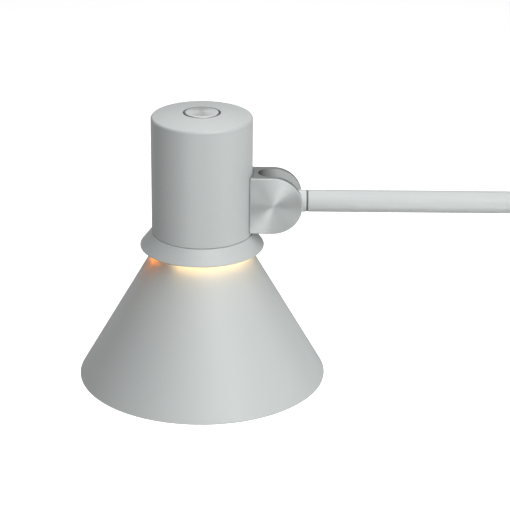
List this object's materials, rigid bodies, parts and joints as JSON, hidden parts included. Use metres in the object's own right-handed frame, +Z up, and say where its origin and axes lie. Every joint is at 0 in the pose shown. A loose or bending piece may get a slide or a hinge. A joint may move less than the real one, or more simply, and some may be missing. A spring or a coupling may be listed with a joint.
{
  "type": "desk lamp",
  "caption": "Balanced-arm desk lamp: weighted round base, sprung lower arm with crank and link rod, tube upper arm, and a tilting cylindrical head over a conical shade.",
  "frame": {"origin": "centre of the base's underside, on the swivel axis, on the surface that the lamp stands on", "axes": "+Z up; the upper arm lies along X with the head towards -X at rest; -Z is the outward normal of the base's underside"},
  "size_m": [0.5014, 0.19, 0.4204],
  "materials": {
    "satin_housing": "satin",
    "satin_shade": "satin",
    "arm_tube": "satin",
    "turned_fitting": "satin",
    "turned_button": "satin",
    "bright_steel": "satin",
    "plated_steel": "satin",
    "spring_steel": "satin",
    "cast_weight": "matte",
    "rubber": "matte",
    "black_plastic": "matte",
    "white_porcelain": "satin",
    "brass": "satin",
    "opal_glass": "satin"
  },
  "bodies": {
    "base": {"base_pad": "rubber", "base_plate": "plated_steel", "base_weight": "cast_weight", "base_cover": "satin_housing", "base_screws": "plated_steel", "cable_gland": "black_plastic", "gland_nut": "black_plastic", "swivel_bush": "black_plastic"},
    "swivel": {"shoulder_fork": "turned_fitting", "swivel_spindle": "plated_steel", "swivel_nut": "plated_steel", "shoulder_bolt": "bright_steel", "shoulder_nut": "bright_steel", "spring_anchors": "bright_steel"},
    "lower_arm": {"arm_foot": "turned_fitting", "lower_tube": "arm_tube", "elbow_knuckle": "turned_fitting", "shoulder_washers": "black_plastic", "spring_crossbar": "bright_steel", "spring_front": "spring_steel", "spring_back": "spring_steel"},
    "crank": {"crank": "turned_fitting"},
    "link": {"link_clevis": "turned_fitting", "link_rod": "arm_tube", "link_eye": "turned_fitting", "link_pin": "bright_steel"},
    "upper_arm": {"elbow_yoke": "turned_fitting", "upper_tube": "arm_tube", "arm_end": "turned_fitting", "tilt_washers": "black_plastic", "elbow_washers": "black_plastic", "elbow_bolt": "bright_steel", "elbow_nut": "bright_steel", "tail_pin": "bright_steel"},
    "head": {"body_shell": "satin_housing", "tilt_fork": "turned_fitting", "tilt_bolt": "bright_steel", "fork_screws": "plated_steel", "collar": "satin_housing", "shade": "satin_shade", "shade_spider": "plated_steel", "spider_rivets": "plated_steel", "lampholder": "white_porcelain", "shade_ring": "white_porcelain", "thread_shell": "brass", "centre_contact": "brass", "holder_bracket": "plated_steel", "nipple": "plated_steel", "nipple_nut": "plated_steel", "switch_body": "black_plastic", "button_spring": "spring_steel", "bulb_globe": "opal_glass", "bulb_cap": "plated_steel"},
    "button": {"button_cap": "turned_button"}
  },
  "joints": [
    {"name": "base_swivel", "type": "hinge", "parent": "base", "child": "swivel", "pos_m": [0, 0, 0.022], "axis": [0, 0, 1], "range_deg": [-160, 160]},
    {"name": "shoulder", "type": "hinge", "parent": "swivel", "child": "lower_arm", "pos_m": [0, 0, 0.08], "axis": [0, 1, 0], "range_deg": [-35, 20], "deforming": ["spring_front", "spring_back"]},
    {"name": "elbow", "type": "hinge", "parent": "lower_arm", "child": "upper_arm", "pos_m": [0.10261, 0, 0.36191], "axis": [0, 1, 0], "range_deg": [-20, 60]},
    {"name": "crank_turn", "type": "hinge", "parent": "lower_arm", "child": "crank", "pos_m": [0, 0, 0.08], "axis": [0, 1, 0], "range_deg": [-20, 60]},
    {"name": "link_turn", "type": "hinge", "parent": "crank", "child": "link", "pos_m": [0.038, 0, 0.08], "axis": [0, 1, 0], "range_deg": [-60, 20]},
    {"name": "head_tilt", "type": "hinge", "parent": "upper_arm", "child": "head", "pos_m": [-0.22739, 0, 0.36191], "axis": [0, 1, 0], "range_deg": [-65, 90]},
    {"name": "switch_button", "type": "slide", "parent": "head", "child": "button", "axis": [0, 0, -1], "range_m": [0, 0.0018], "stiffness_N_per_m": 900, "deforming": ["button_spring"]}
  ],
  "couplings": [
    {"joint": "crank_turn", "follows": "elbow", "ratio": 1},
    {"joint": "link_turn", "follows": "elbow", "ratio": -1}
  ]
}
